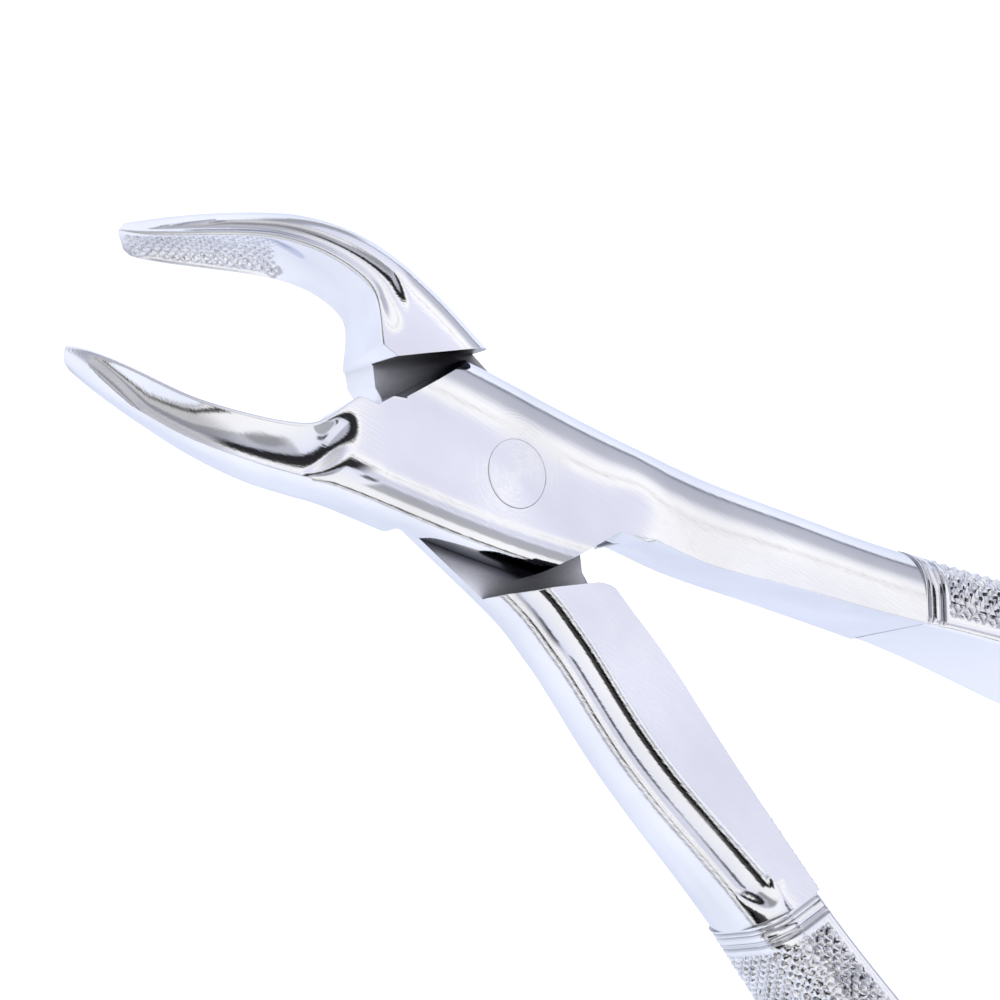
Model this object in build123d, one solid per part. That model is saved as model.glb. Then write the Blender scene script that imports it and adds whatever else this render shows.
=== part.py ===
from build123d import *
import os
from math import cos, radians, sin, tan

# Tooth extraction forceps: two crossing steel halves in a lap joint, held by one flush joint pin.
# Each half is modelled closed and lying along X: beak towards -X, handle towards +X and +Y, with the
# hinge axis on Z and the plane between the two lap plates at Z = 0. Millimetres throughout.

# ---- driving dimensions ------------------------------------------------------------------------
REST_OPENING = 18.4             # degrees between the two halves, open from closed, as stored
HALF_HEIGHT = 3.95              # from the lap plane to the flat face of the joint
LAP_CLEARANCE = 0.06            # between the two lap plates
LAP_ANGLE = 47.0                # slant of the plate ends and shoulders against X

PLATE_END_TO_PIN = (10.0, 8.5)          # hinge axis to the plate's slanted ends: beak end, handle end
SHOULDER_TO_PIN = (10.7, 9.7)           # hinge axis to the shoulders the other plate swings between

PIN_HEAD_RADIUS = 2.9
PIN_HEAD_DEPTH = 1.5
PIN_SHANK_RADIUS = 2.2
RUNNING_CLEARANCE = 0.05

BEAK_ROOT_X = -12.05            # where the beak leaves the flat joint
BEAK_BEND_RADIUS = 18.4         # the beak curves down out of the joint's plane
BEAK_BEND_ANGLE = 44.0
BEAK_TIP_ANGLE = 53.0
BEAK_TIP_RUN = 11.9             # the straighter length after the bend

GRIP_START_X = 44.0             # first ring groove
GRIP_LEAN = 11.0                # the handle's slant where the grooves are, in degrees
GROOVE_COUNT = 2
GROOVE_SPACING = 1.7
GROOVE_WIDTH = 0.7
GROOVE_DEPTH = 0.45

# Beak stations, root to tip: distance along the beak as a fraction of its length, inner face and
# outer side as distances from the closing plane, width across the inner face, side rounding.
BEAK_STATIONS = [
    (0.02, -0.6, 7.6, 7.88, 2.2),
    (0.11, 1.0, 8.1, 7.80, 2.4),
    (0.20, 3.1, 8.4, 7.60, 2.6),
    (0.30, 4.1, 8.4, 7.30, 2.7),
    (0.43, 4.2, 8.1, 6.90, 2.7),
    (0.58, 3.5, 7.3, 6.10, 2.6),
    (0.73, 2.3, 6.1, 5.20, 2.5),
    (0.88, 1.0, 4.6, 4.20, 2.3),
    (0.97, 0.3, 3.4, 3.50, 1.9),
    (1.00, 0.15, 2.6, 3.20, 1.4),
]
BEAK_INNER_ROUND = 0.25

# Joint stations along X: lower side, upper side, rounding of each.
JOINT_STATIONS = [
    (-13.5, -8.0, 8.6, 2.4, 5.0),
    (-8.0, -7.6, 8.7, 2.4, 5.0),
    (-2.0, -7.2, 8.7, 2.2, 5.0),
    (4.0, -6.5, 8.65, 2.0, 5.0),
    (12.6, -5.0, 7.9, 1.6, 5.0),
]

# Handle stations along X: inner face, outer side, centre below the lap plane, half height, outer rounding.
HANDLE_STATIONS = [
    (8.6, 0.6, 8.2, 0.0, 3.85, 5.0),
    (12.0, 0.3, 8.6, 0.0, 3.88, 5.0),
    (20.0, 1.3, 9.3, 0.6, 3.95, 5.0),
    (30.0, 3.1, 10.9, 1.5, 4.15, 5.2),
    (38.0, 4.8, 12.3, 2.2, 4.50, 5.3),
    (46.0, 6.3, 13.9, 2.9, 4.85, 5.5),
    (60.0, 8.5, 16.7, 4.2, 5.20, 6.0),
    (80.0, 10.4, 18.9, 5.9, 5.20, 6.2),
    (105.0, 10.8, 19.2, 8.2, 5.00, 6.1),
    (125.0, 10.0, 17.8, 10.0, 4.60, 5.7),
    (134.0, 9.8, 16.6, 10.9, 4.10, 5.0),
    (137.4, 10.6, 15.2, 11.3, 2.60, 3.6),
]
HANDLE_INNER_ROUND = 0.5
GRIP_START_SECTION = HANDLE_STATIONS[5]


def side_arc(y_edge, half_height, rounding, z_centre, sign):
    """Half ellipse that rounds one side of a section; sign says which way it bulges along Y."""
    centre = (y_edge - sign * rounding, z_centre)
    start = -90 if sign > 0 else 90
    return EllipticalCenterArc(centre, rounding, half_height, start_angle=start, arc_size=180)


def ribbon_section(y_low, y_high, half_height, round_low, round_high, z_centre=0.0):
    """Closed section of a half: flat front and back, a rounded side at each end of them."""
    top, bottom = z_centre + half_height, z_centre - half_height
    low_flat, high_flat = y_low + round_low, y_high - round_high
    edges = [
        side_arc(y_high, half_height, round_high, z_centre, 1),
        Line((high_flat, top), (low_flat, top)),
        side_arc(y_low, half_height, round_low, z_centre, -1),
        Line((low_flat, bottom), (high_flat, bottom)),
    ]
    return make_face(Wire(edges).edges())


def section_plane(x, z, tilt=0.0):
    """Plane across a half: local X is the row's Y, local Y is up, square to a line that dips by tilt."""
    return Plane(origin=(x, 0, z), x_dir=(0, 1, 0), z_dir=(cos(radians(tilt)), 0, sin(radians(tilt))))


def beak_point(fraction):
    """Place and dip of the beak's middle line at a fraction of its length from the root."""
    bend_length = BEAK_BEND_RADIUS * radians(BEAK_BEND_ANGLE)
    along = fraction * (bend_length + BEAK_TIP_RUN)
    dip = BEAK_BEND_ANGLE * min(along / bend_length, 1.0)
    x = BEAK_ROOT_X - BEAK_BEND_RADIUS * sin(radians(dip))
    z = -BEAK_BEND_RADIUS * (1 - cos(radians(dip)))
    past_bend = max(along - bend_length, 0.0)
    tip_dip = BEAK_BEND_ANGLE + (BEAK_TIP_ANGLE - BEAK_BEND_ANGLE) * past_bend / BEAK_TIP_RUN
    if past_bend > 0:
        mean_dip = radians((BEAK_BEND_ANGLE + tip_dip) / 2)
        x -= past_bend * cos(mean_dip)
        z -= past_bend * sin(mean_dip)
        dip = tip_dip
    return x, z, dip


def beak():
    sections = []
    for fraction, inner, outer, width, rounding in BEAK_STATIONS:
        x, z, dip = beak_point(fraction)
        profile = ribbon_section(-outer, -inner, width / 2, rounding, BEAK_INNER_ROUND)
        sections.append(section_plane(x, z, dip) * profile)
    return loft(sections)


def joint_block():
    sections = []
    for x, low, high, round_low, round_high in JOINT_STATIONS:
        profile = ribbon_section(low, high, HALF_HEIGHT, round_low, round_high)
        sections.append(section_plane(x, 0) * profile)
    block = loft(sections)
    beak_end, handle_end = PLATE_END_TO_PIN
    block -= beyond_line(LAP_ANGLE + 90, beak_end)
    block -= beyond_line(LAP_ANGLE - 90, handle_end)
    return block


def handle():
    sections = []
    for x, inner, outer, drop, half_height, rounding in HANDLE_STATIONS:
        profile = ribbon_section(inner, outer, half_height, HANDLE_INNER_ROUND, rounding, -drop)
        sections.append(section_plane(x, 0) * profile)
    return loft(sections)


def beyond_line(direction, distance, reach=60.0, z_low=-20.0, z_high=20.0):
    """Everything farther than distance from the hinge axis in a direction given in degrees."""
    slab = Box(reach, 4 * reach, z_high - z_low, align=(Align.MIN, Align.CENTER, Align.MIN))
    return Rot(0, 0, direction) * (Pos(distance, 0, z_low) * slab)


def lap_recess():
    """Room for the other half's plate: below the lap plane, between the two shoulders."""
    beak_side, handle_side = SHOULDER_TO_PIN
    reach = 60.0
    recess = Pos(0, 0, LAP_CLEARANCE / 2) * Box(reach, reach, reach, align=(Align.CENTER, Align.CENTER, Align.MAX))
    recess -= beyond_line(-LAP_ANGLE - 90, beak_side)
    recess -= beyond_line(90 - LAP_ANGLE, handle_side)
    return recess


def ring_groove(x):
    """Cutter for one ring groove round the handle at x."""
    grip_x, inner, outer, drop, half_height, rounding = GRIP_START_SECTION
    lean = (x - grip_x) * tan(radians(GRIP_LEAN))
    core_section = ribbon_section(
        inner + lean + GROOVE_DEPTH,
        outer + lean - GROOVE_DEPTH,
        half_height - GROOVE_DEPTH,
        HANDLE_INNER_ROUND,
        rounding - GROOVE_DEPTH,
        -drop,
    )
    core = extrude(section_plane(x - GROOVE_WIDTH, 0) * core_section, 2 * GROOVE_WIDTH)
    ring = Pos(x, (inner + outer) / 2, -drop) * Box(GROOVE_WIDTH, 2 * outer, 2 * outer)
    return ring - core


def forging():
    """The outer shape of a half, before its lap recess and pin hole are cut."""
    shape = joint_block() + beak() + handle()
    for number in range(GROOVE_COUNT):
        shape -= ring_groove(GRIP_START_X + number * GROOVE_SPACING)
    return shape


def pin_room(gap):
    """The joint pin's own space, widened all round by gap: a flush head over a plain shank."""
    head_floor = HALF_HEIGHT - PIN_HEAD_DEPTH - gap
    upward = (Align.CENTER, Align.CENTER, Align.MIN)
    shank = Pos(0, 0, -HALF_HEIGHT) * Cylinder(PIN_SHANK_RADIUS + gap, HALF_HEIGHT + head_floor, align=upward)
    head = Pos(0, 0, head_floor) * Cylinder(PIN_HEAD_RADIUS + gap, HALF_HEIGHT - head_floor, align=upward)
    return shank + head


def front_half(shape):
    """Upper plate, lower beak of the pair as seen from the front; it turns on the pin."""
    return shape - lap_recess() - pin_room(RUNNING_CLEARANCE)


def rear_half(shape):
    """Mirror image with its plate below the lap plane; it holds the pin."""
    return mirror(shape, about=Plane.XZ) - Rot(180, 0, 0) * lap_recess() - pin_room(0)


def at_rest(solid, share_of_opening):
    """Turn a closed half to its stored opening and put the joint's flat face at Z = 0."""
    return Pos(0, 0, -HALF_HEIGHT) * Rot(0, 0, share_of_opening * REST_OPENING) * solid


shape = forging()
nodes = {
    "front_half": at_rest(front_half(shape), 0.5),
    "rear_half": at_rest(rear_half(shape), -0.5),
    "joint_pin": at_rest(pin_room(0), -0.5),
}
os.makedirs("parts", exist_ok=True)
for name, solid in nodes.items():
    solid.label = name
    export_step(solid, f"parts/{name}.step")
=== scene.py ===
from math import cos, pi, radians, sin

import bmesh
import bpy
import numpy as np
from mathutils import Matrix, Vector


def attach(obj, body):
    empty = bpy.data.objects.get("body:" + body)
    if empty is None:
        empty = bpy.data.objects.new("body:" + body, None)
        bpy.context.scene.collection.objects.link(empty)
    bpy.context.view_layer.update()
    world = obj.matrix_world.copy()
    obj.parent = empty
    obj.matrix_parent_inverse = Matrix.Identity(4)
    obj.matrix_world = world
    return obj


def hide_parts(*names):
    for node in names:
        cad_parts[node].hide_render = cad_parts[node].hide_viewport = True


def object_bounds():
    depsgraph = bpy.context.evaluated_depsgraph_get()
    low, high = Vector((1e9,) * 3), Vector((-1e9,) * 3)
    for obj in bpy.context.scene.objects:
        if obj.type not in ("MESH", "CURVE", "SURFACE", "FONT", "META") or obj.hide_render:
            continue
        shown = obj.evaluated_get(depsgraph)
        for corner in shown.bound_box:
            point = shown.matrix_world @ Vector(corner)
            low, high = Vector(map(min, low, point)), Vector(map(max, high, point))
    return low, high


# Tooth extraction forceps. Both halves are built closed and lying along X in millimetres, own outer
# side towards -Y on the beak and +Y on the handle, hinge axis on Z, lap plane at Z = 0. They are then
# turned to the stored opening, lowered to the part's own origin and scaled to metres.

MM = 0.001
REST_OPENING = 18.4
HALF_HEIGHT = 3.95
LAP_GAP = 0.06
LAP_ANGLE = 47.0
PLATE_END_TO_PIN = (10.0, 8.5)      # beak end, handle end
SHOULDER_TO_PIN = (10.7, 9.7)       # beak side, handle side
ROOT_CLEARANCE = 0.15               # room between a beak's root and the other half's shoulder
CUTTER_REACH = 20.0                 # how far cutters stand past what they cut

PIN_HEAD_RADIUS = 2.9
PIN_HEAD_DEPTH = 1.5
PIN_SHANK_RADIUS = 2.2
PIN_HEAD_GAP = 0.02
PIN_SHANK_GAP = 0.05
PIN_HOLE_OFFSET = (-0.004, -0.024)  # the front half's hole sits off the axis by this much
PIN_OVERSHOOT = 0.5                 # how far a hole's cutter runs past the joint's faces
PIN_POINTS = 96

# ---- beak ---------------------------------------------------------------------------------------
BEAK_ROOT_X = -12.05
BEAK_BEND_RADIUS = 18.4
BEAK_BEND_ANGLE = 44.0
BEAK_TIP_ANGLE = 53.0
BEAK_TIP_RUN = 12.7
BEAK_LENGTH = BEAK_BEND_RADIUS * radians(BEAK_BEND_ANGLE) + BEAK_TIP_RUN
# distance along the beak, inner face, outer side, width, outer rounding along y
BEAK_STATIONS = [
    (0.0, -1.70, 7.90, 7.90, 3.4),
    (1.5, -1.25, 8.00, 7.88, 3.4),
    (2.9, -0.70, 8.08, 7.86, 3.3),
    (3.7, 0.30, 8.15, 7.83, 3.3),
    (4.6, 1.75, 8.25, 7.78, 3.2),
    (5.7, 3.20, 8.32, 7.70, 3.1),
    (7.2, 3.95, 8.40, 7.50, 3.0),
    (9.5, 4.25, 8.35, 7.20, 3.0),
    (12.0, 4.15, 8.00, 6.75, 2.9),
    (15.5, 3.45, 7.05, 6.00, 2.8),
    (19.0, 2.25, 5.65, 5.15, 2.6),
    (22.5, 1.05, 4.05, 4.25, 2.2),
    (25.2, 0.35, 2.60, 3.60, 1.6),
    (BEAK_LENGTH, 0.15, 1.60, 3.20, 1.0),
]
BEAK_STEP = 0.13
BEAK_EDGE = 0.32
BEAK_FLUTE_START = 2.6              # distance along the beak where its flute begins
BEAK_FLUTE_TO_TIP = 2.0
BEAK_FLUTE_DEPTH = 0.38
BEAK_FLUTE_RAMPS = (2.2, 6.0)       # over what length it deepens at the root and at the tip
BEAK_RIDGE_SHARE = {1: 0.4, -1: 0.92}   # how far up the outer rounding each half's ridge lies
FLUTE_END_BOW = 1.5                 # how far a flute's middle runs past its sides at a closed end
TROUGH_LENGTH = 17.0
TROUGH_DEPTH = 0.9
TROUGH_BOW = (0.82, 0.18)           # share of the length along the trough's rims, and what its middle adds
TROUGH_FADE = 0.72                  # where along its length the trough starts to run out
TROUGH_FULLNESS = 0.7
TROUGH_TIP_RAMP = 3.0
SERRATION_LENGTH = 13.0
SERRATION_PITCH = 0.78
SERRATION_DEPTH = 0.24
SERRATION_FADE = 1.5
SERRATION_RIM = (0.15, 0.35)        # from the trough's rim inwards, where the teeth grow to full height
SERRATION_TIP_GAP = (0.2, 0.6)

# ---- joint and shank ----------------------------------------------------------------------------
# x, lower side, upper side
JOINT_STATIONS = [
    (BEAK_ROOT_X, -7.90, 8.60),
    (-8.0, -7.65, 8.70),
    (-2.0, -7.20, 8.70),
    (4.0, -6.50, 8.60),
    (12.6, -5.00, 8.65),
]
JOINT_END_X = JOINT_STATIONS[-1][0]
JOINT_BLEND_X = 7.0                 # from here to the joint's end its outer side turns into the handle's
DROP_SPAN = (10.0, 16.0)            # where the handle starts to dip below the lap plane
# x, inner face, outer side, drop of the centre, half height, lean of the inner face
HANDLE_STATIONS = [
    (8.6, 0.2, 8.52, 0.0, 3.95, 0.0),
    (12.6, 0.7, 8.6, 0.05, 3.95, -0.6),
    (20.0, 1.3, 9.25, 0.9, 3.95, -0.8),
    (30.0, 3.3, 10.7, 2.2, 4.15, -0.3),
    (38.0, 5.05, 11.8, 3.25, 4.50, 0.0),
    (46.0, 6.7, 13.2, 4.2, 4.85, 0.5),
    (60.0, 8.7, 16.1, 5.6, 5.20, 2.2),
    (80.0, 10.4, 18.3, 7.2, 5.20, 2.0),
    (105.0, 10.8, 18.7, 9.0, 5.00, 1.5),
    (125.0, 10.0, 17.5, 10.3, 4.60, 1.3),
    (134.0, 9.8, 16.4, 11.0, 4.10, 1.0),
    (137.4, 10.6, 15.2, 11.3, 2.60, 0.6),
]
# how much fuller the rear half's outer side is than the front half's, at places along x
REAR_SWELL = [
    (BEAK_ROOT_X, 0.0),
    (4.0, 0.0),
    (12.6, 0.7),
    (22.0, 1.4),
    (34.0, 0.5),
    (46.0, -0.7),
    (90.0, -0.2),
    (137.4, 0.0),
]
# reach across, reach in height and fullness of the outer corners' rounding, by whether the half's own
# plate is the upper one: on the own plate's face, then on the face that the other plate lies at
OWN_ROUND = {True: (7.0, 5.2, 2.5), False: (3.6, 4.0, 2.0)}
LAP_ROUND = {True: (1.9, 2.4, 2.2), False: (3.2, 3.7, 1.65)}
PLATE_LOW_ROUND = (3.4, 3.0, 2.5)
SHANK_LOW_ROUND = (1.0, 1.0)        # on the side that the inner cutter takes away
OWN_ROUND_SHARE = 0.72              # most of a section's width that its own-side rounding may take
PLATE_ROUND_WIDTH = 9.7             # width that the plate's rounding is worked out from
PLATE_CORNER_Y = -0.1               # where the plate's handle end meets the inner face, at the lap plane
PLATE_CORNER_LEAN = -0.6            # how far the inner face leans there over the joint's height
SHOULDER_CORNER_Y = 0.9             # where the handle-side shoulder meets the inner face
CORNER_REACH = 1.7                  # how far that corner's rounding runs along both
FACE_HEADING = radians(6.0)         # direction of the inner face at that corner
INNER_FACE_FROM_X = 15.0            # where the handle's own inner face takes over from the plate's corner
HANDLE_FLUTE_END = 42.9             # where the rear handle's flute runs out before the rings
HANDLE_FLUTE_DEPTH = 0.5
HANDLE_FLUTE_RAMP = 2.4
HANDLE_RIDGE_SHARE = 0.62           # how far round the outer corner the flute's far side lies
RING_LEAN = 0.15                    # how much further than square the rings slant
SQUARE_FROM_X = 26.0                # from here on the sections turn square to the handle
GRIP_START_X = 43.5
GRIP_STEP = 0.14
GRIP_OVERLAP = 0.05
GRIP_INNER_ROUND = (0.8, 0.8)
GRIP_FULL_HALF = 4.1                # half height and width below which the grip's roundings shrink
GRIP_FULL_WIDTH = 7.0
KNURL_PITCH = 1.15
KNURL_DEPTH = 0.34
KNURL_START = 46.0
KNURL_END = 131.5
RING_PLACES = (43.9, 44.35, 45.1, 45.55)
RING_WIDTH = 0.2
RING_DEPTH = 0.2

# points along a quarter, the high side, the bottom, the low side and the top of each kind of section
BEAK_POINTS = (14, 44, 10, 6, 14)
SHANK_POINTS = (28, 6, 14, 6, 14)
GRIP_POINTS = (26, 20, 24, 34, 24)
EDGE_ANGLE = 28.0                   # faces that meet at more than this keep a crisp edge
WELD_DISTANCE = 2e-7


def cubic_spline(knots, values, at):
    """Natural cubic curve through the station values."""
    knots, values = np.asarray(knots, float), np.asarray(values, float)
    step = np.diff(knots)
    count = len(knots)
    matrix = np.eye(count)
    right = np.zeros(count)
    for i in range(1, count - 1):
        matrix[i, i - 1 : i + 2] = step[i - 1], 2 * (step[i - 1] + step[i]), step[i]
        right[i] = 6 * ((values[i + 1] - values[i]) / step[i] - (values[i] - values[i - 1]) / step[i - 1])
    bend = np.linalg.solve(matrix, right)
    i = np.clip(np.searchsorted(knots, at) - 1, 0, count - 2)
    h, a, b = step[i], knots[i + 1] - at, at - knots[i]
    return (
        (bend[i] * a**3 + bend[i + 1] * b**3) / (6 * h)
        + (values[i] / h - bend[i] * h / 6) * a
        + (values[i + 1] / h - bend[i + 1] * h / 6) * b
    )


def read_stations(table, at):
    """Every column of a station table at the places asked for."""
    rows = np.array(table)
    return [cubic_spline(rows[:, 0], rows[:, column], at) for column in range(1, rows.shape[1])]


def smooth_step(low, high, value):
    """0 below low and 1 above high, with a soft start and end between them."""
    t = np.clip((value - low) / (high - low), 0, 1)
    return t * t * (3 - 2 * t)


def quarter(centre, radii, start, count):
    """A rounded corner turning clockwise from start degrees; its last point is left to the next run.
    A third radius value above 2 makes it leave its straight neighbours more gently than an ellipse."""
    angles = np.radians(start - 90 * np.arange(count) / count)
    power = 2 / (radii[2] if len(radii) > 2 else 2)
    y = np.sign(np.cos(angles)) * np.abs(np.cos(angles)) ** power
    z = np.sign(np.sin(angles)) * np.abs(np.sin(angles)) ** power
    return np.stack([centre[0] + radii[0] * y, centre[1] + radii[1] * z], -1)


def run(start, end, count):
    """Evenly spaced points on a line without its last one."""
    t = np.arange(count)[:, None] / count
    return np.asarray(start) * (1 - t) + np.asarray(end) * t


def section(low, high, bottom, top, corners, counts):
    """Closed loop of a section. Corners are (ry, rz) for top-high, bottom-high, bottom-low, top-low;
    counts are the points along a quarter, the high side, the bottom, the low side and the top."""
    (ya, za), (yb, zb), (yc, zc), (yd, zd) = (corner[:2] for corner in corners)
    arc, high_side, under, low_side, over = counts
    return np.concatenate([
        quarter((high - ya, top - za), corners[0], 90, arc),
        run((high, top - za), (high, bottom + zb), high_side),
        quarter((high - yb, bottom + zb), corners[1], 0, arc),
        run((high - yb, bottom), (low + yc, bottom), under),
        quarter((low + yc, bottom + zc), corners[2], -90, arc),
        run((low, bottom + zc), (low, top - zd), low_side),
        quarter((low + yd, top - zd), corners[3], 180, arc),
        run((low + yd, top), (high - ya, top), over),
    ])


def loft(name, loops):
    """Closed mesh through a stack of equal loops of 3-D points, with a face over each end."""
    rings, around = loops.shape[:2]
    index = np.arange(rings * around).reshape(rings, around)
    nxt = np.roll(index, -1, axis=1)
    quads = np.stack([index[:-1], nxt[:-1], nxt[1:], index[1:]], -1).reshape(-1, 4)
    faces = quads.tolist() + [index[0].tolist()[::-1], index[-1].tolist()]
    return mesh_object(name, loops.reshape(-1, 3), faces)


def mesh_object(name, points, faces):
    """Object in the scene from points and faces, with its normals outward."""
    mesh = bpy.data.meshes.new(name)
    mesh.from_pydata(np.asarray(points).tolist(), [], faces)
    shape = bmesh.new()
    shape.from_mesh(mesh)
    bmesh.ops.recalc_face_normals(shape, faces=shape.faces)
    shape.to_mesh(mesh)
    shape.free()
    piece = bpy.data.objects.new(name, mesh)
    bpy.context.scene.collection.objects.link(piece)
    return piece


def prism(name, outline, z_low, z_high):
    """Upright closed block over an outline in XY."""
    outline = np.asarray(outline, float)
    count = len(outline)
    low = np.column_stack([outline, np.full(count, z_low)])
    high = np.column_stack([outline, np.full(count, z_high)])
    sides = [[i, (i + 1) % count, count + (i + 1) % count, count + i] for i in range(count)]
    faces = sides + [list(range(count))[::-1], list(range(count, 2 * count))]
    return mesh_object(name, np.concatenate([low, high]), faces)


def combine(piece, other, operation):
    """Exact boolean of two closed pieces; the other one is used up."""
    modifier = piece.modifiers.new("boolean", "BOOLEAN")
    modifier.operation = operation
    modifier.solver = "EXACT"
    modifier.object = other
    bpy.context.view_layer.update()
    graph = bpy.context.evaluated_depsgraph_get()
    result = bpy.data.meshes.new_from_object(piece.evaluated_get(graph))
    piece.modifiers.clear()
    piece.data = result
    bpy.data.objects.remove(other)


def half_plane(direction, distance, side, reach=40.0):
    """Corners of the region farther than distance from the hinge axis, for one half's side."""
    along = np.array([cos(radians(direction)), sin(radians(direction))])
    across = np.array([-along[1], along[0]])
    corners = [
        along * distance - across * reach,
        along * (distance + reach) - across * reach,
        along * (distance + reach) + across * reach,
        along * distance + across * reach,
    ]
    return [(x, side * y) for x, y in corners]


def beak_frames(along):
    """Middle line of the beak and the direction square to it in the XZ plane."""
    bend_length = BEAK_BEND_RADIUS * radians(BEAK_BEND_ANGLE)
    bend = np.radians(BEAK_BEND_ANGLE) * np.clip(along / bend_length, 0, 1)
    past = np.clip(along - bend_length, 0, None)
    extra = np.radians(BEAK_TIP_ANGLE - BEAK_BEND_ANGLE) * past / BEAK_TIP_RUN
    dip = bend + extra
    mean = np.radians(BEAK_BEND_ANGLE) + extra / 2
    x = BEAK_ROOT_X - BEAK_BEND_RADIUS * np.sin(bend) - past * np.cos(mean)
    z = -BEAK_BEND_RADIUS * (1 - np.cos(bend)) - past * np.sin(mean)
    return x, z, dip


def pyramids(along, across, pitch):
    """Height from 0 to 1 of a field of small pyramids left by two crossing sets of V grooves."""
    first = np.abs(((along + across) / pitch) % 1 - 0.5) * 2
    second = np.abs(((along - across) / pitch) % 1 - 0.5) * 2
    return 1 - np.maximum(first, second)


def scoop(loop, first, last, depth, ends):
    """Hollow the run between two points of a clockwise loop into a shallow flute. Each end of the flute
    is a distance past it and the length over which it deepens; its outline is bowed."""
    chord = loop[last] - loop[first]
    inward = np.array([chord[1], -chord[0]]) / np.linalg.norm(chord)
    t = np.linspace(0, 1, last - first + 1)[:, None]
    flute = loop[first] + chord * t + inward * depth * 4 * t * (1 - t)
    share = np.ones_like(t)
    for past, length in ends:
        share *= smooth_step(0, length, past - FLUTE_END_BOW * (2 * t - 1) ** 2)
    loop[first : last + 1] = loop[first : last + 1] * (1 - share) + flute * share


def beak(side):
    """Bent beak from root to tip: trough and serrations inside, a flute along its upper side."""
    along = np.linspace(0, BEAK_LENGTH, int(BEAK_LENGTH / BEAK_STEP))
    inner, outer, width, rounding = read_stations(BEAK_STATIONS, along)
    x, z, dip = beak_frames(along)
    arc, face_points, under, low_side, over = BEAK_POINTS
    ridge = 3 * arc + face_points + under + low_side + int(BEAK_RIDGE_SHARE[side] * arc)
    loops = []
    for i, distance in enumerate(along):
        half = width[i] / 2
        edge = (BEAK_EDGE, BEAK_EDGE)
        outer_round = (rounding[i], half * PLATE_LOW_ROUND[1] / HALF_HEIGHT, PLATE_LOW_ROUND[2])
        corners = [edge, edge, outer_round, outer_round]
        loop = section(-outer[i], -inner[i], -half, half, corners, BEAK_POINTS)
        loop = carve_beak_face(loop, arc, face_points, half, BEAK_LENGTH - distance)
        past_ends = (distance - BEAK_FLUTE_START, BEAK_LENGTH - BEAK_FLUTE_TO_TIP - distance)
        ends = tuple(zip(past_ends, BEAK_FLUTE_RAMPS))
        scoop(loop, ridge, len(loop) - 1, BEAK_FLUTE_DEPTH * width[i] / BEAK_STATIONS[0][3], ends)
        x_points = x[i] + loop[:, 1] * -sin(dip[i])
        loops.append(np.stack([x_points, side * loop[:, 0], z[i] + loop[:, 1] * cos(dip[i])], -1))
    return loft("beak", np.array(loops))


def carve_beak_face(loop, start, count, half, to_tip):
    """Hollow the inner face into a shallow trough and cut the serrations near the tip."""
    face = slice(start, start + count)
    across = loop[face, 1]
    rim = np.clip(1 - (across / (half - BEAK_EDGE)) ** 2, 0, 1)
    reach = TROUGH_LENGTH * (TROUGH_BOW[0] + TROUGH_BOW[1] * rim)
    fade = 1 - smooth_step(TROUGH_FADE * reach, reach, to_tip)
    trough = TROUGH_DEPTH * fade * rim**TROUGH_FULLNESS * smooth_step(0, TROUGH_TIP_RAMP, to_tip)
    rows = 1 - smooth_step(SERRATION_LENGTH - SERRATION_FADE, SERRATION_LENGTH, to_tip)
    rows = smooth_step(*SERRATION_RIM, rim) * rows * smooth_step(*SERRATION_TIP_GAP, to_tip)
    teeth = SERRATION_DEPTH * pyramids(to_tip, across, SERRATION_PITCH) * rows
    loop[face, 0] -= trough - teeth
    return loop


def corner_radii(own_up, inner, width):
    """Radii of top-high, bottom-high, bottom-low and top-low corners of a shank section."""
    reach, height, power = OWN_ROUND[own_up]
    own = (min(reach, OWN_ROUND_SHARE * width), height, power)
    lap = LAP_ROUND[own_up]
    top, bottom = (own, lap) if own_up else (lap, own)
    return [top, bottom, inner, inner]


def handle_columns(xs, own_up):
    """Inner face, outer side, drop, half height and lean of the handle at the places asked for."""
    inner, outer, drop, half, lean = read_stations(HANDLE_STATIONS, xs)
    if not own_up:
        outer = outer + read_stations(REAR_SWELL, xs)[0]
    return inner, outer, drop, half, lean


def stand(loop, x, side):
    """Put a section at x in space, square to the handle's own direction past the joint."""
    turned = smooth_step(SQUARE_FROM_X, GRIP_START_X, x)
    at = np.clip(x, SQUARE_FROM_X, HANDLE_STATIONS[-1][0] - 1.0)
    inner, outer, drop = read_stations(HANDLE_STATIONS, np.array([at - 1.0, at + 1.0]))[:3]
    middle = (inner + outer) / 2
    slope_y, slope_z = (middle[1] - middle[0]) / 2 + RING_LEAN, -(drop[1] - drop[0]) / 2
    shift = slope_y * (loop[:, 0] - middle.mean()) + slope_z * (loop[:, 1] + drop.mean())
    return np.stack([x - turned * shift, side * loop[:, 0], loop[:, 1]], -1)


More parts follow.
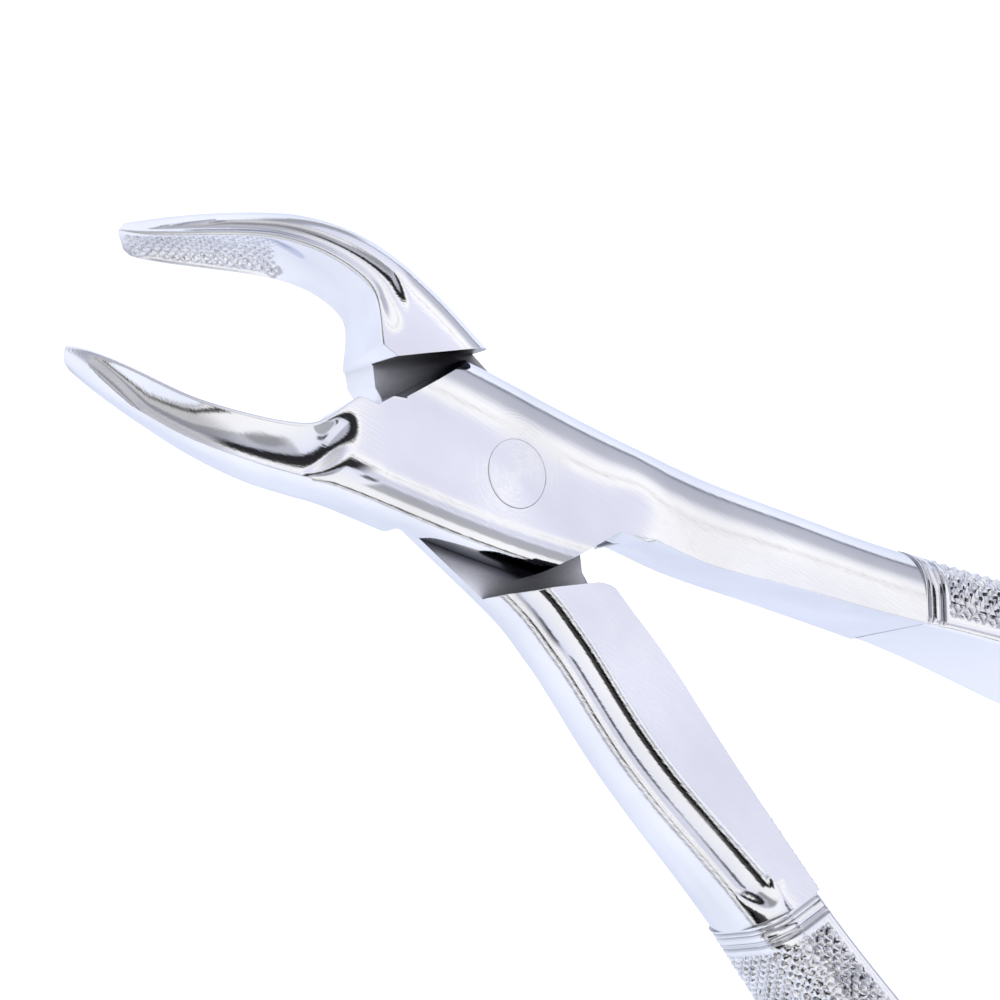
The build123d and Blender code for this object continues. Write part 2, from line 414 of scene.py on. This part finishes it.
def shank(side, own_up):
    """Joint and smooth part of the handle, its inner side left too wide for the outline cutter."""
    end = GRIP_START_X + GRIP_OVERLAP
    xs = np.linspace(BEAK_ROOT_X, end, 160)
    joint_low, joint_high = read_stations(JOINT_STATIONS, np.clip(xs, BEAK_ROOT_X, JOINT_END_X))
    inner, outer, drop, half, _ = handle_columns(np.clip(xs, HANDLE_STATIONS[0][0], end), own_up)
    blend = smooth_step(JOINT_BLEND_X, JOINT_END_X, xs)
    in_joint = xs < JOINT_END_X
    high = joint_high * (1 - blend) + outer * blend
    low = np.where(in_joint, joint_low, np.minimum(inner - 3.0, joint_low))
    half = np.where(in_joint, HALF_HEIGHT, half)
    drop = drop * smooth_step(*DROP_SPAN, xs)
    width = (high - inner) * blend + PLATE_ROUND_WIDTH * (1 - blend)
    loops = []
    for i, x in enumerate(xs):
        low_corner = PLATE_LOW_ROUND if in_joint[i] else SHANK_LOW_ROUND
        corners = corner_radii(own_up, low_corner, width[i])
        loop = section(low[i], high[i], -drop[i] - half[i], -drop[i] + half[i], corners, SHANK_POINTS)
        if not own_up:
            far_side = int(SHANK_POINTS[0] * HANDLE_RIDGE_SHARE)
            scoop(loop, 0, far_side, HANDLE_FLUTE_DEPTH, ((HANDLE_FLUTE_END - x, HANDLE_FLUTE_RAMP),))
        loops.append(stand(loop, x, side))
    return loft("shank", np.array(loops))


def inner_cutter(side, own_up):
    """What is cut away beside the plate's handle end and the handle's leaning inner face."""
    turn = radians(LAP_ANGLE - 90)
    normal = np.array([cos(turn), sin(turn)])
    tangent = np.array([-normal[1], normal[0]])
    base = normal * PLATE_END_TO_PIN[1]
    heights = np.array([-CUTTER_REACH, CUTTER_REACH])
    facing = 1 if own_up else -1
    xs = np.linspace(INNER_FACE_FROM_X, GRIP_START_X + 9.0, 66)
    inner, _, drop, half, lean = read_stations(HANDLE_STATIONS, xs)
    faces = []
    for i, x in enumerate(xs):
        slant = (heights + drop[i]) / (2 * half[i]) * lean[i] * facing
        faces.append(stand(np.column_stack([inner[i] + slant, heights]), x, side))
    levels = []
    for level, z in enumerate(heights):
        corner_y = PLATE_CORNER_Y + z / (2 * HALF_HEIGHT) * PLATE_CORNER_LEAN * facing
        corner = base + tangent * (corner_y - base[1]) / tangent[1]
        edge = [(x, side * y, z) for x, y in (base - tangent * 14.0, corner)]
        edge += [tuple(face[level]) for face in faces]
        levels.append(np.array(edge + [(GRIP_START_X + 15.0, -CUTTER_REACH * side, z)]))
    return loft("cutter", np.array(levels))


def corner_cutter(side, own_up):
    """Rounds the upright edge where the handle's shoulder meets its inner face."""
    turn = radians(90 - LAP_ANGLE)
    normal = np.array([cos(turn), sin(turn)])
    along_wall = np.array([-normal[1], normal[0]])
    along_face = np.array([cos(FACE_HEADING), sin(FACE_HEADING)])
    distance = SHOULDER_TO_PIN[1]
    corner = np.array([(distance - normal[1] * SHOULDER_CORNER_Y) / normal[0], SHOULDER_CORNER_Y])
    start, end = corner + along_wall * CORNER_REACH, corner + along_face * CORNER_REACH
    half_angle = np.arccos(along_wall @ along_face) / 2
    middle = (along_wall + along_face) / np.linalg.norm(along_wall + along_face)
    centre = corner + middle * CORNER_REACH / cos(half_angle)
    first, last = (np.arctan2(*(point - centre)[::-1]) for point in (start, end))
    if last < first:
        last += 2 * pi
    radius = np.linalg.norm(start - centre)
    arc = [centre + radius * np.array([cos(a), sin(a)]) for a in np.linspace(first, last, 16)]
    outside = corner + (corner - centre) * 0.5
    outline = [outside + along_wall * CORNER_REACH, *arc, outside + along_face * CORNER_REACH]
    z_low, z_high = (-CUTTER_REACH, LAP_GAP / 2) if own_up else (-LAP_GAP / 2, CUTTER_REACH)
    return prism("cutter", [(x, side * y) for x, y in outline], z_low, z_high)


def root_cutter(side):
    """Clears the inner side of the beak's root, so that the halves can close without meeting there."""
    turn = radians(LAP_ANGLE + 90)
    normal = np.array([cos(turn), sin(turn)])
    corner = np.array([(SHOULDER_TO_PIN[0] - ROOT_CLEARANCE) / normal[0], 0.0])
    wall_end = corner + CUTTER_REACH * np.array([normal[1], -normal[0]])
    outline = [corner, wall_end, (-2 * CUTTER_REACH, wall_end[1]), (-2 * CUTTER_REACH, 0.0)]
    return prism("cutter", [(x, side * y) for x, y in outline], -9.0, 9.0)


def grip(side, own_up):
    """Knurled end of the handle, from the ring grooves to the rounded tail."""
    xs = np.arange(GRIP_START_X, HANDLE_STATIONS[-1][0], GRIP_STEP)
    xs = np.append(xs, HANDLE_STATIONS[-1][0])
    inner, outer, drop, half, lean = handle_columns(xs, own_up)
    loops = []
    for i, x in enumerate(xs):
        width = outer[i] - inner[i]
        taper = min(1.0, half[i] / GRIP_FULL_HALF, width / GRIP_FULL_WIDTH)
        radii = corner_radii(own_up, GRIP_INNER_ROUND, width - 0.6)
        corners = [(r[0] * taper, r[1] * taper, *r[2:]) for r in radii]
        loop = section(inner[i], outer[i], -drop[i] - half[i], -drop[i] + half[i], corners, GRIP_POINTS)
        toward_inner = 1 - smooth_step(0, 0.5, (loop[:, 0] - inner[i]) / width)
        slant = (loop[:, 1] + drop[i]) / (2 * half[i]) * lean[i] * (1 if own_up else -1)
        loop[:, 0] += slant * toward_inner
        loop += grip_relief(loop, x, inner[i] + slant)[:, None] * outward(loop)
        loops.append(stand(loop, x, side))
    return loft("grip", np.array(loops))


def outward(loop):
    """Outward direction at each point of a clockwise loop."""
    chord = np.roll(loop, -1, axis=0) - np.roll(loop, 1, axis=0)
    normal = np.stack([-chord[:, 1], chord[:, 0]], -1)
    return normal / np.linalg.norm(normal, axis=1, keepdims=True)


def grip_relief(loop, x, inner_face):
    """Height added at each point of a grip section: ring grooves, then knurling."""
    spans = np.linalg.norm(np.roll(loop, -1, axis=0) - loop, axis=1)
    around = np.concatenate([[0], np.cumsum(spans)[:-1]])
    groove = sum(np.clip(1 - abs(x - place) / RING_WIDTH, 0, 1) for place in RING_PLACES)
    off_inner = smooth_step(0.9, 1.5, loop[:, 0] - inner_face)
    off_face = smooth_step(0.0, 0.4, loop[:, 0] - inner_face)
    ends = smooth_step(KNURL_START, KNURL_START + 0.5, x) * (1 - smooth_step(KNURL_END - 0.5, KNURL_END, x))
    field = pyramids(x, around, KNURL_PITCH) * KNURL_DEPTH - 0.6 * KNURL_DEPTH
    return field * off_inner * ends - RING_DEPTH * groove * off_face


def forceps_half(name, side, own_up):
    """One half: side is +1 for the front half and -1 for the rear; own_up says where its plate is."""
    piece = shank(side, own_up)
    plate_end = half_plane(LAP_ANGLE + 90, PLATE_END_TO_PIN[0], side)
    combine(piece, prism("cutter", plate_end, -9, 9), "DIFFERENCE")
    combine(piece, inner_cutter(side, own_up), "DIFFERENCE")
    combine(piece, beak(side), "UNION")
    combine(piece, root_cutter(side), "DIFFERENCE")
    lap = prism("cutter", [(-30, -30), (30, -30), (30, 30), (-30, 30)], *lap_span(own_up))
    for direction, distance in ((-LAP_ANGLE - 90, SHOULDER_TO_PIN[0]), (90 - LAP_ANGLE, SHOULDER_TO_PIN[1])):
        shoulder = prism("cutter", half_plane(direction, distance, side, 60.0), -40, 40)
        combine(lap, shoulder, "DIFFERENCE")
    combine(piece, lap, "DIFFERENCE")
    combine(piece, corner_cutter(side, own_up), "DIFFERENCE")
    combine(piece, grip(side, own_up), "UNION")
    if own_up:
        hole = pin_solid("cutter", PIN_HEAD_GAP, PIN_SHANK_GAP, PIN_OVERSHOOT)
        hole.data.transform(Matrix.Translation((*PIN_HOLE_OFFSET, 0)))
        combine(piece, hole, "DIFFERENCE")
    else:
        combine(piece, pin_solid("cutter", 0.0, 0.0, PIN_OVERSHOOT), "DIFFERENCE")
    piece.name = name
    piece.data.name = name
    sort_faces(piece, side, own_up)
    place(piece, side * REST_OPENING / 2)
    return piece


def lap_span(own_up):
    """Heights between which the other half's plate has its room."""
    return (-30.0, LAP_GAP / 2) if own_up else (-LAP_GAP / 2, 30.0)


def pin_solid(name, head_gap, shank_gap, beyond):
    """The pin as a solid of revolution; a gap and an overshoot make it a cutter."""
    head_floor = HALF_HEIGHT - PIN_HEAD_DEPTH - head_gap
    outline = [
        (0.0, -HALF_HEIGHT - beyond),
        (PIN_SHANK_RADIUS + shank_gap, -HALF_HEIGHT - beyond),
        (PIN_SHANK_RADIUS + shank_gap, head_floor),
        (PIN_HEAD_RADIUS + head_gap, head_floor),
        (PIN_HEAD_RADIUS + head_gap, HALF_HEIGHT + beyond),
        (0.0, HALF_HEIGHT + beyond),
    ]
    return revolve(name, outline, PIN_POINTS)


def revolve(name, outline, count):
    """Closed solid of revolution about Z; the first and last points lie on the axis."""
    turns = np.linspace(0, 2 * pi, count, endpoint=False)
    circle = np.stack([np.cos(turns), np.sin(turns)], -1)
    rings = [np.column_stack([radius * circle, np.full(count, z)]) for radius, z in outline[1:-1]]
    return loft(name, np.array(rings))


def place(piece, turn):
    """Turn a closed half or the pin to its stored place and set it in metres."""
    lowered = Matrix.Translation((0, 0, -HALF_HEIGHT))
    piece.data.transform(Matrix.Scale(MM, 4) @ lowered @ Matrix.Rotation(radians(turn), 4, "Z"))


def finish_edges(piece):
    """Smooth shading with crisp edges where faces meet at more than EDGE_ANGLE."""
    shape = bmesh.new()
    shape.from_mesh(piece.data)
    bmesh.ops.remove_doubles(shape, verts=shape.verts, dist=WELD_DISTANCE)
    bmesh.ops.recalc_face_normals(shape, faces=shape.faces)
    for face in shape.faces:
        face.smooth = True
    for edge in shape.edges:
        edge.smooth = len(edge.link_faces) == 2 and edge.calc_face_angle(0) < radians(EDGE_ANGLE)
    shape.to_mesh(piece.data)
    shape.free()


# ---- materials ----------------------------------------------------------------------------------
class Nodes:
    """Short ways to add and join the nodes of one tree."""

    def __init__(self, tree):
        self.tree = tree

    def node(self, kind, **settings):
        """New shader node with its settings made."""
        node = self.tree.nodes.new(f"ShaderNode{kind}")
        for name, value in settings.items():
            setattr(node, name, value)
        return node

    def join(self, source, target):
        """Link an output to an input."""
        self.tree.links.new(source, target)

    def math(self, operation, first, second=0.0):
        """Result of a sum on outputs or plain numbers."""
        node = self.node("Math", operation=operation)
        for socket, value in zip(node.inputs, (first, second)):
            if isinstance(value, (int, float)):
                socket.default_value = value
            else:
                self.join(value, socket)
        return node.outputs[0]

    def spread(self, value, from_low, from_high, to_low, to_high, curve="LINEAR"):
        """Carry a value from one range to another, held at the ends."""
        node = self.node("MapRange", clamp=True, interpolation_type=curve)
        self.join(value, node.inputs["Value"])
        limits = (from_low, from_high, to_low, to_high)
        for name, number in zip(("From Min", "From Max", "To Min", "To Max"), limits):
            node.inputs[name].default_value = number
        return node.outputs[0]

    def mix(self, first, second, share):
        """Colour that goes from the first, a colour or an output, to the second as share rises."""
        node = self.node("Mix", data_type="RGBA")
        for name, color in (("A", first), ("B", second)):
            if isinstance(color, tuple):
                node.inputs[name].default_value = (*color, 1)
            else:
                self.join(color, node.inputs[name])
        self.join(share, node.inputs["Factor"])
        return node.outputs["Result"]

    def bump_at(self, value, centre, half_width, soft):
        """1 within half_width of centre, falling to 0 over soft."""
        away = self.math("ABSOLUTE", self.math("SUBTRACT", value, centre))
        return self.spread(away, half_width, half_width + soft, 1, 0, "SMOOTHSTEP")


class Shader(Nodes):
    """A metal Principled material with the surface details that the steels share."""

    def __init__(self, name, color, roughness):
        self.material = bpy.data.materials.new(name)
        self.material.use_nodes = True
        super().__init__(self.material.node_tree)
        self.main = self.tree.nodes["Principled BSDF"]
        self.main.inputs["Base Color"].default_value = (*color, 1)
        self.main.inputs["Metallic"].default_value = 1.0
        self.main.inputs["Roughness"].default_value = roughness
        self.main.inputs["Specular Tint"].default_value = (0.82, 0.84, 0.9, 1)

    def noise(self, per_mm, turn=0.0, detail=3.0):
        """Noise in object space; per_mm gives its cycles along x, y and z, turned about Z."""
        place = self.node("TexCoord")
        mapping = self.node("Mapping")
        mapping.inputs["Rotation"].default_value = (0, 0, radians(turn))
        stretch = self.node("Mapping")
        stretch.inputs["Scale"].default_value = [value / MM for value in per_mm]
        noise = self.node("TexNoise")
        noise.inputs["Scale"].default_value = 1.0
        noise.inputs["Detail"].default_value = detail
        self.join(place.outputs["Object"], mapping.inputs["Vector"])
        self.join(mapping.outputs[0], stretch.inputs["Vector"])
        self.join(stretch.outputs[0], noise.inputs["Vector"])
        return noise.outputs[0]

    def swirl(self, rings_per_mm):
        """Fine rings about the hinge axis, as left by grinding the pin flush."""
        place = self.node("TexCoord")
        parts = self.node("SeparateXYZ")
        self.join(place.outputs["Object"], parts.inputs[0])
        x, y, _ = parts.outputs
        squares = self.math("ADD", self.math("MULTIPLY", x, x), self.math("MULTIPLY", y, y))
        radius = self.math("SQRT", squares)
        angle = self.math("ARCTAN2", y, x)
        vector = self.node("CombineXYZ")
        self.join(self.math("MULTIPLY", radius, rings_per_mm / MM), vector.inputs[0])
        self.join(self.math("MULTIPLY", angle, 1.5), vector.inputs[1])
        noise = self.node("TexNoise")
        noise.inputs["Scale"].default_value = 1.0
        noise.inputs["Detail"].default_value = 2.0
        self.join(vector.outputs[0], noise.inputs["Vector"])
        near = self.spread(radius, 3.5 * MM, 6.5 * MM, 1.0, 0.0)
        return noise.outputs[0], near

    def bump(self, height, distance_mm, strength, below=None):
        """Normal for a height, laid over the normal below it."""
        node = self.node("Bump")
        node.inputs["Strength"].default_value = strength
        node.inputs["Distance"].default_value = distance_mm * MM
        self.join(height, node.inputs["Height"])
        if below:
            self.join(below, node.inputs["Normal"])
        return node.outputs[0]

    def soft_edges(self, radius_mm):
        """Normal that rounds the crisp edges a little, as polishing does."""
        node = self.node("Bevel", samples=4)
        node.inputs["Radius"].default_value = radius_mm * MM
        return node.outputs[0]

    def paint_crevice_shade(self, color, reach_mm, dark, power, stain=0.0):
        """Painted shade: tint the base colour towards a dark colour where the surface is shut in, and mottle
        it.
        """
        shade = self.node("AmbientOcclusion", samples=8)
        shade.inputs["Distance"].default_value = reach_mm * MM
        open_share = self.math("POWER", shade.outputs["AO"], power)
        cloud = self.spread(self.noise((0.07, 0.11, 0.11), turn=20.0), 0.35, 0.65, 1.0 - stain, 1.0)
        open_share = self.math("MULTIPLY", open_share, cloud)
        self.join(self.mix(dark, color, open_share), self.main.inputs["Base Color"])


def polished_steel():
    """Mirror finish with fine streaks along the tool and rings where the pin was ground flush."""
    shader = Shader("polished_steel", (0.94, 0.94, 0.975), 0.07)
    streaks = shader.noise((0.12, 7.0, 7.0), turn=-4.0)
    fine = shader.noise((0.5, 22.0, 22.0), turn=6.0, detail=2.0)
    ripple = shader.noise((0.12, 0.35, 0.35), detail=1.0)
    swirl, near = shader.swirl(9.0)
    swirl_height = shader.math("MULTIPLY", swirl, near)
    shader.join(shader.spread(fine, 0.35, 0.75, 0.035, 0.11), shader.main.inputs["Roughness"])
    normal = shader.bump(ripple, 0.02, 0.35, shader.soft_edges(0.14))
    normal = shader.bump(streaks, 0.009, 0.6, normal)
    normal = shader.bump(swirl_height, 0.02, 0.8, normal)
    shader.join(normal, shader.main.inputs["Normal"])
    # Painted shade: the base colour darkens where the surface is shut in.
    shader.paint_crevice_shade((0.95, 0.95, 0.985), 1.2, (0.10, 0.10, 0.12), 1.2, 0.12)
    return shader.material


def ground_steel():
    """Finish of the two lap faces, with painted shade that darkens it where the plates and shoulders shut it
    in.
    """
    shader = Shader("ground_steel", (0.70, 0.70, 0.76), 0.22)
    cuts = shader.noise((0.4, 11.0, 6.0), turn=38.0)
    blotches = shader.noise((0.5, 0.8, 0.8))
    shader.join(shader.spread(blotches, 0.3, 0.7, 0.10, 0.24), shader.main.inputs["Roughness"])
    shader.join(shader.bump(cuts, 0.006, 0.5), shader.main.inputs["Normal"])
    shader.paint_crevice_shade((0.95, 0.95, 0.98), 3.0, (0.004, 0.004, 0.006), 3.2)
    return shader.material


def shadowed_steel():
    """Nearly black finish of the shoulder walls: it stands for the shade in the narrow joint."""
    shader = Shader("shoulder_painted_shade", (0.035, 0.035, 0.045), 0.12)
    cuts = shader.noise((3.0, 3.0, 14.0))
    shader.join(shader.bump(cuts, 0.006, 0.5), shader.main.inputs["Normal"])
    shader.join(shader.spread(cuts, 0.3, 0.7, 0.08, 0.25), shader.main.inputs["Roughness"])
    shader.paint_crevice_shade((0.016, 0.016, 0.02), 2.0, (0.003, 0.003, 0.004), 1.5)
    return shader.material


def knurled_steel():
    """Bright steel of the grips, with painted shade that darkens the bottom of the knurling."""
    shader = Shader("knurled_steel", (0.92, 0.93, 0.97), 0.12)
    grain = shader.noise((6.0, 6.0, 6.0))
    shader.join(shader.spread(grain, 0.3, 0.7, 0.07, 0.2), shader.main.inputs["Roughness"])
    shader.join(shader.bump(grain, 0.012, 0.4), shader.main.inputs["Normal"])
    shader.paint_crevice_shade((0.93, 0.93, 0.96), 0.5, (0.02, 0.02, 0.03), 2.6)
    return shader.material


# SHOULDER is the slot of the near-black painted shade on the shoulder walls.
POLISHED, GROUND, SHOULDER, KNURLED = range(4)
KNURLED_MARGIN = 0.3                # how far the knurled finish runs past the knurling


def sort_faces(piece, side, own_up):
    """Give each face of a closed half its finish by where it lies and how it stands; the shoulder walls get
    the near-black painted shade.
    """
    lap_height = LAP_GAP / 2 if own_up else -LAP_GAP / 2
    walls = [(-LAP_ANGLE - 90, SHOULDER_TO_PIN[0]), (90 - LAP_ANGLE, SHOULDER_TO_PIN[1])]
    for polygon in piece.data.polygons:
        centre, normal = polygon.center, polygon.normal
        finish = POLISHED
        if abs(normal.z) > 0.99 and abs(centre.z - lap_height) < 0.02:
            finish = GROUND
        for direction, distance in walls:
            across = Vector((cos(radians(direction)), side * sin(radians(direction)), 0))
            if abs(abs(normal.dot(across)) - 1) < 0.01 and abs(centre.dot(across) - distance) < 0.05:
                finish = SHOULDER
        if KNURL_START - KNURLED_MARGIN < centre.x < KNURL_END + KNURLED_MARGIN:
            finish = KNURLED
        polygon.material_index = finish


# ---- camera, light and floor ----------------------------------------------------------------------
CAMERA_AZIMUTH = -44.18
CAMERA_ELEVATION = 53.04
CAMERA_ROLL = 74.09
CAMERA_DISTANCE = 0.962
CAMERA_LENS = 417.7
CAMERA_SHIFT = (0.0104, -0.0186)
FLOOR_HALF_SIZE = 1.5
FLOOR_TO_CAMERA = (0.9, 0.9, 0.9)
FLOOR_IN_REFLECTIONS = (0.60, 0.64, 0.73)
FLOOR_EDGE_IN_REFLECTIONS = (0.02, 0.02, 0.03)
# where the mirrored floor darkens: towards -Y, and towards +Y but only on the -X side
FLOOR_EDGES = (("Y", (-0.16, -0.24)), ("Y", (0.06, 0.09)), ("X", (0.0, -0.02)))
# colour of the tent at angles about X, from straight up towards +Y
TENT_STOPS = [
    (-180, (0.9, 0.9, 0.95)),
    (-95, (1.0, 1.0, 1.0)),
    (-60, (1.0, 1.0, 1.0)),
    (-40, (0.96, 0.97, 1.0)),
    (-14, (0.88, 0.90, 1.0)),
    (3, (0.70, 0.72, 0.84)),
    (13, (1.05, 1.05, 1.05)),
    (20, (1.05, 1.05, 1.05)),
    (25, (0.82, 0.83, 0.955)),
    (31, (0.82, 0.83, 0.955)),
    (35, (1.05, 1.05, 1.05)),
    (46, (1.05, 1.05, 1.05)),
    (60, (0.86, 0.88, 0.98)),
    (82, (0.78, 0.80, 0.94)),
    (92, (0.82, 0.88, 1.0)),
    (180, (0.9, 0.9, 0.95)),
]
# darker parts of the tent: centre, half width and fade in angle about X, the same along X where it
# doesn't run the whole way, and how dark
TENT_PATCHES = [
    ((-81.0, 3.2, 1.8), None, 0.95),                  # gap along the tent's foot
    ((-75.0, 9.0, 3.0), (0.1, 0.2, 0.06), 0.95),      # where that gap is wide
    ((88.0, 3.0, 3.0), None, 0.45),                   # gap along the far foot
    ((5.5, 8.0, 3.0), (-0.25, 0.5, 0.16), 0.97),      # gap overhead
    ((-12.0, 4.0, 2.0), (0.44, 0.04, 0.015), 0.85),   # short slit beside it
    ((-25.0, 12.0, 8.0), (0.68, 0.14, 0.04), 0.5),    # shade towards the handles
    ((-18.0, 14.0, 8.0), (-0.6, 0.42, 0.1), 0.4),     # shade towards the beaks
    ((74.0, 10.0, 16.0), (0.62, 0.34, 0.15), 0.35),   # shade on the far side
]
CAMERA_OPENING = (0.0, 9.0, 7.0)    # angle off the stored camera's direction
CAMERA_OPENING_DARKNESS = 0.4
TENT_SEAMS = ((16.0, 0.35, 0.3), (40.0, 0.4, 0.4))
SEAM_DASHES = (0.62, 0.12, 0.02)
SEAM_DASH_SCALE = 240.0
SEAM_DARKNESS = 0.8
FAR_END = (0.3, 0.9, 0.3)           # the lit span along X, beyond which the tent is darker
FAR_END_DARKNESS = 0.4


def camera_direction():
    """From the hinge towards the camera."""
    azimuth, elevation = radians(CAMERA_AZIMUTH), radians(CAMERA_ELEVATION)
    return Vector((sin(azimuth) * cos(elevation), -cos(azimuth) * cos(elevation), sin(elevation)))


def add_camera():
    """Long-lens camera that looks at the hinge from above, beaks to the left."""
    roll = radians(CAMERA_ROLL)
    back = camera_direction()
    right = Vector((0, 0, 1)).cross(back).normalized()
    up = back.cross(right)
    image_right = right * cos(roll) + up * sin(roll)
    image_up = up * cos(roll) - right * sin(roll)
    camera = bpy.data.objects.new("camera", bpy.data.cameras.new("camera"))
    bpy.context.scene.collection.objects.link(camera)
    pivot = Vector((0, 0, -HALF_HEIGHT * MM))
    matrix = Matrix((image_right, image_up, back)).transposed().to_4x4()
    matrix.translation = pivot + back * CAMERA_DISTANCE
    camera.matrix_world = matrix
    camera.data.lens = CAMERA_LENS
    camera.data.sensor_width = 36
    camera.data.clip_start = 0.01
    camera.data.clip_end = 20
    camera.data.shift_x, camera.data.shift_y = CAMERA_SHIFT
    bpy.context.scene.camera = camera


def add_floor(height):
    """Pale floor that glows evenly to the camera, and is darker and bluer where the steel mirrors it."""
    mesh = bpy.data.meshes.new("floor")
    corners = [(-1, -1), (1, -1), (1, 1), (-1, 1)]
    points = [(x * FLOOR_HALF_SIZE, y * FLOOR_HALF_SIZE, height) for x, y in corners]
    mesh.from_pydata(points, [], [(0, 1, 2, 3)])
    floor = bpy.data.objects.new("floor", mesh)
    bpy.context.scene.collection.objects.link(floor)
    material = bpy.data.materials.new("floor_white")
    material.use_nodes = True
    mesh.materials.append(material)
    nodes = Nodes(material.node_tree)
    main = nodes.tree.nodes["Principled BSDF"]
    main.inputs["Base Color"].default_value = (0.5, 0.5, 0.5, 1)
    main.inputs["Roughness"].default_value = 1.0
    main.inputs["Emission Strength"].default_value = 1.0
    parts = nodes.node("SeparateXYZ")
    nodes.join(nodes.node("NewGeometry").outputs["Position"], parts.inputs[0])
    near, far, behind = (nodes.spread(parts.outputs[axis], *span, 0.0, 1.0) for axis, span in FLOOR_EDGES)
    dark = nodes.math("MAXIMUM", near, nodes.math("MULTIPLY", far, behind))
    mirrored = nodes.mix(FLOOR_IN_REFLECTIONS, FLOOR_EDGE_IN_REFLECTIONS, dark)
    to_camera = nodes.node("LightPath").outputs["Is Camera Ray"]
    nodes.join(nodes.mix(mirrored, FLOOR_TO_CAMERA, to_camera), main.inputs["Emission Color"])


def tent_color(sky, swing):
    """Colour of the tent by its angle about X."""
    ramp = sky.node("ValToRGB")
    sky.join(sky.math("ADD", sky.math("DIVIDE", swing, 360), 0.5), ramp.inputs[0])
    stops = ramp.color_ramp.elements
    stops.remove(stops[1])
    stops[0].color = (*TENT_STOPS[0][1], 1)
    for angle, color in TENT_STOPS[1:]:
        stops.new(angle / 360 + 0.5).color = (*color, 1)
    return ramp.outputs[0]


def tent_masks(sky, direction, swing, x):
    """Where the tent is darker, each with how dark."""
    dot = sky.node("VectorMath", operation="DOT_PRODUCT")
    sky.join(direction, dot.inputs[0])
    dot.inputs[1].default_value = camera_direction()
    off_camera = sky.math("MULTIPLY", sky.math("ARCCOSINE", dot.outputs["Value"]), 180 / pi)
    masks = [(sky.bump_at(off_camera, *CAMERA_OPENING), CAMERA_OPENING_DARKNESS)]
    for about_x, along_x, darkness in TENT_PATCHES:
        mask = sky.bump_at(swing, *about_x)
        if along_x:
            mask = sky.math("MULTIPLY", mask, sky.bump_at(x, *along_x))
        masks.append((mask, darkness))
    breaks = sky.node("TexNoise", noise_dimensions="1D")
    breaks.inputs["Scale"].default_value = SEAM_DASH_SCALE
    sky.join(x, breaks.inputs["W"])
    first, second = (sky.bump_at(swing, *seam) for seam in TENT_SEAMS)
    dashes = sky.bump_at(breaks.outputs[0], *SEAM_DASHES)
    masks.append((sky.math("MULTIPLY", sky.math("ADD", first, second), dashes), SEAM_DARKNESS))
    masks.append((sky.math("SUBTRACT", 1, sky.bump_at(x, *FAR_END)), FAR_END_DARKNESS))
    return masks


def add_world():
    """Soft white tent: lilac overhead and greyer towards the far side, with dark gaps overhead and along
    its foot, a dark opening for the camera and two broken seams."""
    world = bpy.data.worlds.new("studio")
    bpy.context.scene.world = world
    world.use_nodes = True
    sky = Nodes(world.node_tree)
    direction = sky.node("TexCoord").outputs["Generated"]
    parts = sky.node("SeparateXYZ")
    sky.join(direction, parts.inputs[0])
    x, y, z = parts.outputs
    swing = sky.math("MULTIPLY", sky.math("ARCTAN2", y, z), 180 / pi)
    light = tent_color(sky, swing)
    for mask, darkness in tent_masks(sky, direction, swing, x):
        scale = sky.node("VectorMath", operation="SCALE")
        sky.join(light, scale.inputs[0])
        keep = sky.math("SUBTRACT", 1, sky.math("MULTIPLY", mask, darkness))
        sky.join(keep, scale.inputs["Scale"])
        light = scale.outputs[0]
    background = sky.tree.nodes["Background"]
    sky.join(light, background.inputs["Color"])
    background.inputs["Strength"].default_value = 1.0


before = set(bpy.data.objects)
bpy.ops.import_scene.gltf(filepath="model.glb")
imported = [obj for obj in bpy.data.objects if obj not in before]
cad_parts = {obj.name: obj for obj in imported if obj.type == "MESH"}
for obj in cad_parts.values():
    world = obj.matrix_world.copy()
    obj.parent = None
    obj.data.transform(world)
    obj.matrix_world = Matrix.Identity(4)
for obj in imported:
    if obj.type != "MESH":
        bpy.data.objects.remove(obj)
cad_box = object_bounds()
bpy.context.scene.view_settings.view_transform = "Standard"

# The steels carry painted crevice shade; the shoulder one is painted shade throughout.
steels_and_painted_shade = [polished_steel(), ground_steel(), shadowed_steel(), knurled_steel()]
front = forceps_half("front_forging", 1, True)
rear = forceps_half("rear_forging", -1, False)
pin = pin_solid("flush_pin", 0.0, 0.0, 0.0)
place(pin, 0)
for piece, body, node, slot in (
    (front, "front", "front_half", "polished_steel"),
    (rear, "rear", "rear_half", "polished_steel"),
    (pin, "rear", "joint_pin", "pin_steel"),
):
    finish_edges(piece)
    for finish in steels_and_painted_shade:
        piece.data.materials.append(finish)
    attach(piece, body)
    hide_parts(node)

add_camera()
add_floor(cad_box[0][2])
add_world()

bpy.context.view_layer.update()
